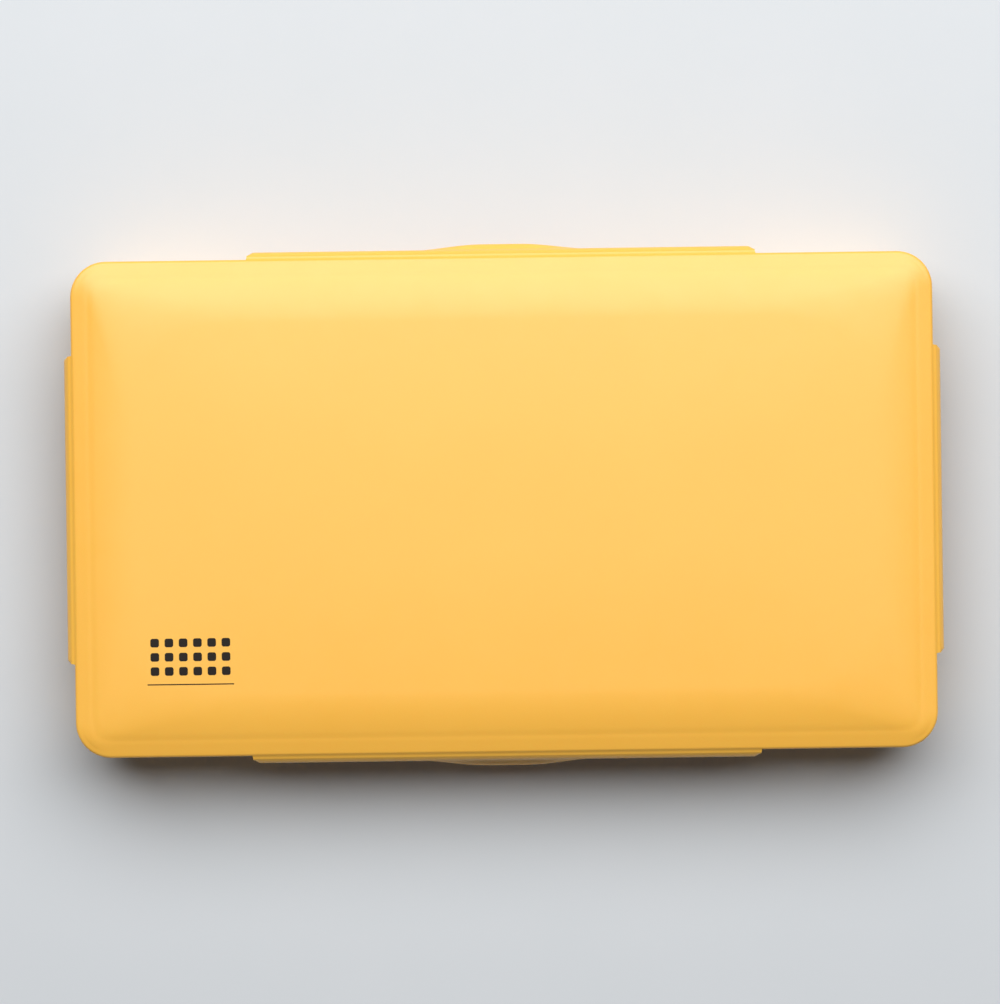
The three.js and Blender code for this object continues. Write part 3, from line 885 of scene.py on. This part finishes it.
def lid_height(inset):
    """Sloping rim, a faint groove along the crease, then a pillow on a low crown."""
    past = inset - RIM_WIDTH
    groove = CREASE_DEEP * math.exp(-(past / CREASE_REACH) ** 2)
    if past < 0:
        return crease_top + RIM_RISE * past / (RIM_WIDTH - LID_EDGE) - groove
    pillow = DOME_RISE * level_off(past / DOME_RUN)
    return crease_top + pillow + CROWN_RISE * level_off(past / (DOME_RUN + crown_run)) - groove


def soft_outline(length, width, reach):
    """Points in step with outline's, round a rectangle whose corners bend slowly out of its sides."""
    points = []
    for corner in range(4):
        side_x = 1 if corner in (0, 3) else -1
        side_y = 1 if corner < 2 else -1
        for step in range(CORNER_STEPS + 1):
            share = step / CORNER_STEPS
            off = [reach * run ** SOFT_BEND for run in (share, 1 - share)]
            if corner % 2:
                off.reverse()
            points.append(Vector((side_x * (length / 2 - off[0]), side_y * (width / 2 - off[1]))))
    return points


def lid_ring(inset, drop):
    """A section of the lid's top. Its corners soften over the rim, then open over the pillow and close."""
    reach = RIM_REACH + (PILLOW_REACH - RIM_REACH) * smooth((inset - RIM_WIDTH) / DOME_RUN)
    reach += (CROWN_REACH - reach) * max(inset - RIM_WIDTH - DOME_RUN, 0) / crown_run
    height = lid_height(inset) - drop
    soft = level(soft_outline(*case_size(inset), reach), height)
    share = smooth((inset - LID_EDGE) / (RIM_WIDTH - LID_EDGE))
    return [point.lerp(other, share) for point, other in zip(case_ring(inset, height), soft)]


slope_steps = range(SLOPE_START, SLOPE_STEPS)
rim_insets = [LID_EDGE + (RIM_WIDTH - LID_EDGE) * step / SLOPE_STEPS for step in slope_steps]
dome_insets = [RIM_WIDTH + DOME_RUN * step / PILLOW_STEPS for step in range(PILLOW_STEPS + 1)]
dome_insets += [RIM_WIDTH + DOME_RUN + crown_run * step / CROWN_STEPS for step in range(1, CROWN_STEPS + 1)]
rib_inner = rib_inset + RIB_WALL
rib_bottom = palette_high.z + PALETTE_HOLD
inner_insets = [inset for inset in reversed(dome_insets) if inset > rib_inner + SMALL_ROUND]
lid_rings = [lid_ring(inset, CASE_WALL) for inset in inner_insets]
lid_rings += [case_ring(inset, height) for inset, height in rounded([
    (rib_inner + SMALL_ROUND, lid_height(rib_inner + SMALL_ROUND) - CASE_WALL, 0),
    (rib_inner, rib_bottom, SMALL_ROUND),
    (rib_inset, rib_bottom, SMALL_ROUND),
    (rib_inset, lid_ceiling, SMALL_ROUND),
    (CASE_WALL, lid_ceiling, SMALL_ROUND),
    (CASE_WALL, lid_low.z, SMALL_ROUND),
    (0, lid_low.z, SMALL_ROUND),
    (0, lid_height(0), LID_ROUND),
    (rim_insets[0], lid_height(rim_insets[0]), 0),
])]
lid_rings += [lid_ring(inset, 0) for inset in rim_insets[1:] + dome_insets]
lid = skin("lid", lid_rings)
dress(lid, yellow_pp, "yellow_polypropylene", "lid", "lid_shell")

# Flaps
# Four snap flaps of the same moulding as the lid. A bead along the inside catches under the tray's
# flange, the ends taper back to the lid, and on the long flaps the lower edge swells to a thumb lip.
FLAP_GAP = 1.4 * MM
FLAP_WALL = 1.5 * MM
LONG_TAPER = 2.4 * MM
SHORT_TAPER = 1.4 * MM
FLAP_CORNER = 5 * MM
FLAP_EDGE = 0.5 * MM
SHOULDER_SINK = 0.45 * MM
SHOULDER_FALL = 2.8 * MM
SHOULDER_TILT = math.radians(42)
SHOULDER_STEPS = 8
FILM_DROP = 0.9 * MM
FILM_THICK = 0.5 * MM
LATCH_GAP = 0.5 * MM
LATCH_CLEARANCE = 0.35 * MM
BEAD_FADE = 5 * MM
BEAD_LAND = 0.85 * MM
BEAD_HEIGHT = 3 * MM
LIP_LONG = 78 * MM
LIP_RAMP = 32 * MM
LIP_REACH = 2.45 * MM
LIP_TALL = 6 * MM
LIP_LAND = 2.2 * MM
FACE_STEPS = 10
END_STEPS = 8
BEAD_STEPS = 6
LIP_STEPS = 40
# At its two ends a flap keeps this share of its thickness and of its bead.
END_SHARE = 0.1

hinge_height = edge_top - FILM_DROP - FILM_THICK / 2
flap_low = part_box("front_flap")[0].z
flap_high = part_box("front_flap")[1].z - SHOULDER_SINK
flap_inner = FLAP_GAP / 2
flap_outer = flap_inner + FLAP_WALL


def flap_section():
    """The flap's section at its hinge: outwards from the hinge's middle, and up."""
    bead_top = flange_under - LATCH_GAP
    bead_tip = LATCH_CLEARANCE - FLANGE_INSET - flap_inner
    face_foot = flap_low + FLAP_EDGE * 2
    face = [
        (flap_outer, face_foot + (LIP_TALL - FLAP_EDGE * 2) * step / FACE_STEPS, 0)
        for step in range(FACE_STEPS + 1)
    ]
    shoulder_foot = Vector((flap_outer, flap_high - SHOULDER_FALL))
    shoulder_bend = Vector((flap_outer, flap_high - FLAP_WALL * math.tan(SHOULDER_TILT)))
    shoulder_top = Vector((flap_inner, flap_high))
    shoulder = bend(shoulder_foot, shoulder_bend, shoulder_top, SHOULDER_STEPS)
    return rounded([
        (flap_inner, (flap_high + bead_top) / 2, 0),
        (flap_inner, bead_top, SMALL_ROUND),
        (bead_tip, bead_top, SMALL_ROUND),
        (bead_tip, bead_top - BEAD_LAND, SMALL_ROUND),
        (flap_inner, bead_top - BEAD_HEIGHT, SMALL_ROUND),
        (flap_inner, flap_low, FLAP_EDGE),
        (flap_outer, flap_low, FLAP_EDGE),
        *face,
        *[(out, height, 0) for out, height in shoulder],
        (flap_inner, (flap_high + bead_top) / 2, 0),
    ])[:-1]


def flap_point(along, out, height, length, reach, taper):
    """Moves a point of the section to where the flap's taper, corner, bead and lip put it."""
    end = length / 2 - abs(along)
    share = min(end / taper, 1) if out > flap_inner else smooth((end - BEAD_FADE) / BEAD_FADE)
    out = flap_inner + (out - flap_inner) * (END_SHARE + (1 - END_SHARE) * share)
    ramp = min(max((abs(along) - LIP_LONG / 2 + LIP_RAMP) / LIP_RAMP, 0), 1)
    swell = (1 + math.cos(math.pi * ramp)) / 2
    low_down = 1 - smooth((height - flap_low - LIP_LAND) / (LIP_TALL - LIP_LAND))
    skin_share = smooth((out - flap_inner) / FLAP_WALL)
    out += reach * swell * low_down * skin_share
    into_corner = max(FLAP_CORNER - end, 0)
    rise = FLAP_CORNER - math.sqrt(max(FLAP_CORNER ** 2 - into_corner ** 2, 0))
    height += rise * (flap_high - height) / (flap_high - flap_low)
    return along, out, height


def at_side(turn, edge):
    """Moves what is drawn along X, facing +Y, to a side of the case."""
    out = Matrix.Translation(Vector((-math.sin(turn) * edge, math.cos(turn) * edge, 0)))
    return out @ Matrix.Rotation(turn, 4, "Z")


def flap_length(side):
    """The length of the flap on one side of the case."""
    low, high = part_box(f"{side}_flap")
    return max(high.x - low.x, high.y - low.y)


def flap(name, length, reach, taper, turn, edge):
    """Runs the section along the hinge, in finer steps where the corner, bead and lip change it."""
    sines = [math.sin(step / END_STEPS * math.pi / 2) for step in range(END_STEPS, -1, -1)]
    stations = [length / 2 - FLAP_CORNER * (1 - sine) for sine in sines]
    stations += [length / 2 - BEAD_FADE * (1 + step / BEAD_STEPS) for step in range(1, BEAD_STEPS + 1)]
    stations += [LIP_LONG / 2 * step / LIP_STEPS for step in range(LIP_STEPS, 0, -1)]
    stations = [-along for along in stations] + [0.0] + stations[::-1]
    place = at_side(turn, edge)
    section = flap_section()
    rings = [
        [place @ Vector(flap_point(along, out, height, length, reach, taper)) for out, height in section]
        for along in stations
    ]
    return skin(name, rings)


flap_sides = {
    "back": (0, lid_high.y, LIP_REACH, LONG_TAPER),
    "left": (math.pi / 2, lid_high.x, 0, SHORT_TAPER),
    "front": (math.pi, lid_high.y, LIP_REACH, LONG_TAPER),
    "right": (-math.pi / 2, lid_high.x, 0, SHORT_TAPER),
}
for side, (turn, edge, reach, taper) in flap_sides.items():
    piece = flap(f"snap_flap_{side}", flap_length(side), reach, taper, turn, edge + FLAP_GAP / 2)
    dress(piece, yellow_pp, "yellow_polypropylene", f"{side}_flap", f"{side}_flap")

# Hinge films
# The lid's plastic thinned to half a millimetre between its edge and a flap, so that the flap folds on
# it. Its top leaves the lid's rounded edge, sags into a faint groove and runs on into the flap's shoulder.
FILM_START = 0.9 * MM
FILM_START_SINK = 0.1 * MM
FILM_START_TILT = math.radians(21)
FILM_ROOT = 0.25 * MM
FILM_BURY = 0.06 * MM
FILM_SPLAY = 0.3 * MM
FILM_SAG = 0.22 * MM
FILM_STEPS = 18
FILM_STATIONS = (-1, -0.5, 0, 0.5, 1)


def film_section():
    """Outwards from the lid's edge, and up: the underside, then the top back to the lid."""
    lid_end = Vector((-FILM_START, edge_top - FILM_START_SINK))
    flap_end = Vector((FLAP_GAP, flap_high))
    fall_in, fall_out = math.tan(FILM_START_TILT), math.tan(SHOULDER_TILT)
    drop = lid_end.y - flap_end.y - fall_in * (flap_end.x - lid_end.x)
    corner_out = flap_end.x - drop / (fall_out - fall_in)
    corner = Vector((corner_out, lid_end.y - fall_in * (corner_out - lid_end.x)))
    top = [
        point - Vector((0, FILM_SAG * math.sin(math.pi * step / FILM_STEPS) ** 2))
        for step, point in enumerate(bend(lid_end, corner, flap_end, FILM_STEPS))
    ]
    root = Vector((FLAP_GAP + FILM_ROOT, flap_high - fall_out * FILM_ROOT - FILM_BURY))
    under_height = hinge_height - FILM_THICK / 2
    under = bend(
        Vector((-FILM_ROOT, under_height)), Vector((FLAP_GAP / 2, under_height)),
        root - Vector((0, FILM_THICK)), FILM_STEPS,
    )
    return under + [root] + top[::-1]


for side, (turn, edge, *_) in flap_sides.items():
    length = flap_length(side)
    place = at_side(turn, edge)
    rings = []
    for share in FILM_STATIONS:
        ring = []
        for out, height in film_section():
            half = length / 2 + FILM_SPLAY * min(max(1 - out / FLAP_GAP, 0), 1)
            ring.append(place @ Vector((share * half, out, height)))
        rings.append(ring)
    film = skin(f"hinge_film_{side}", rings)
    # A film bends between the lid and its flap, so it rides on neither alone.
    dress(film, yellow_pp, "yellow_polypropylene", None, f"{side}_hinge_film")
    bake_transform(film)

# Print
# A small plain pictogram, pad printed in dark ink on the lid's lower left: the cups as a grid of rounded
# squares over a thin rule. Geometry Nodes set out the squares.
INK = "#1E1813"
INK_DEEP = "#261F19"
INK_THICK = 0.05 * MM
INK_SUNK = 0.02 * MM
MARK_SIZE = 3.4 * MM
MARK_ROUND = 0.9 * MM
MARK_PITCH = 5.6 * MM
MARK_LEFT = -141 * MM
MARK_FOOT = -69 * MM
RULE_LONG = 34 * MM
RULE_THICK = 0.45 * MM
RULE_BELOW = 5.2 * MM
RULE_STEPS = 24

# Pad printing ink is a thin film, almost black and with little shine.
ink = moulded_plastic("pad_printed_ink", INK, INK_DEEP, rough=0.45, grain_depth=0.002 * MM, specular=0.2)
ink_top = INK_THICK - INK_SUNK
square_edge = outline(MARK_SIZE, MARK_SIZE, MARK_ROUND)
square = skin("ink_square", [level(square_edge, height) for height in (-INK_SUNK, ink_top)])
print_marks = grown("printed_pictogram", cells_in_rows, {
    "Tile": square, "Material": ink, "Columns": CUP_COLUMNS, "Rows": CUP_ROWS,
    "Reach X": (CUP_COLUMNS - 1) * MARK_PITCH, "Reach Y": (CUP_ROWS - 1) * MARK_PITCH,
    "Join Within": JOIN_WITHIN,
})
rule_middle = -(CUP_ROWS - 1) / 2 * MARK_PITCH - RULE_BELOW
rule_section = [(-1, -INK_SUNK), (-1, ink_top), (1, ink_top), (1, -INK_SUNK)]
rule = skin("ink_rule", [
    [Vector(((step / RULE_STEPS - 0.5) * RULE_LONG, rule_middle + side * RULE_THICK / 2, height))
     for side, height in rule_section]
    for step in range(RULE_STEPS + 1)
])
lid_faces = BVHTree.FromPolygons(
    [vert.co for vert in lid.data.vertices], [face.vertices for face in lid.data.polygons],
)
marks = together(print_marks, rule)
shift = Vector((MARK_LEFT + RULE_LONG / 2, MARK_FOOT + RULE_BELOW + MARK_PITCH, 0))
for vert in marks.verts:
    vert.co += shift
    above = Vector((vert.co.x, vert.co.y, cad_high.z + lid_high.z))
    vert.co.z += lid_faces.ray_cast(above, Vector((0, 0, -1)))[0].z
write_back(marks, print_marks, square, rule)
print_marks.data.materials.clear()
print_marks.data.materials.append(ink)
# The record has no slot for ink, so the print goes with the lid that it is on.
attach(print_marks, "lid")

# Table and light
# A pale table top, and the soft light of one wide oval diffuser beyond the back of the case.
TABLE_REACH = 3.0
TABLE_CORNER = 0.75
TABLE = "#CFD2D5"
TABLE_DEEP = "#CCD0D3"
DIFFUSER_WIDE = 3.4
DIFFUSER_HIGH = 1.98
DIFFUSER_PLACE = Vector((0.05, 0.97, 1.58))
DIFFUSER_WATTS = 65
ROOM = "#E4EDFA"
ROOM_STRENGTH = 0.075

# Matt laminate spreads the light evenly, so that the case's shadow is all that shows on it.
laminate = moulded_plastic("matt_white_laminate", TABLE, TABLE_DEEP, rough=0.6, grain_depth=0.002 * MM)
table_edge = level(outline(2 * TABLE_REACH, 2 * TABLE_REACH, TABLE_CORNER), 0)
table = bpy.data.objects.new("table_top", bpy.data.meshes.new("table_top"))
table.data.from_pydata(table_edge, [], [tuple(range(len(table_edge)))])
table.data.materials.append(laminate)
bpy.context.collection.objects.link(table)

diffuser = bpy.data.objects.new("oval_diffuser", bpy.data.lights.new("oval_diffuser", "AREA"))
diffuser.data.shape = "ELLIPSE"
diffuser.data.size = DIFFUSER_WIDE
diffuser.data.size_y = DIFFUSER_HIGH
diffuser.data.energy = DIFFUSER_WATTS
diffuser.location = DIFFUSER_PLACE
diffuser.rotation_euler = (-DIFFUSER_PLACE).to_track_quat("-Z", "Y").to_euler()
bpy.context.collection.objects.link(diffuser)

world = bpy.data.worlds.new("room_light")
bpy.context.scene.world = world
world.use_nodes = True
world.node_tree.nodes.clear()
room = add(world.node_tree, "ShaderNodeBackground", {"Color": linear(ROOM), "Strength": ROOM_STRENGTH})
add(world.node_tree, "ShaderNodeOutputWorld", {"Surface": room.outputs["Background"]})
bpy.context.scene.view_settings.view_transform = "Standard"
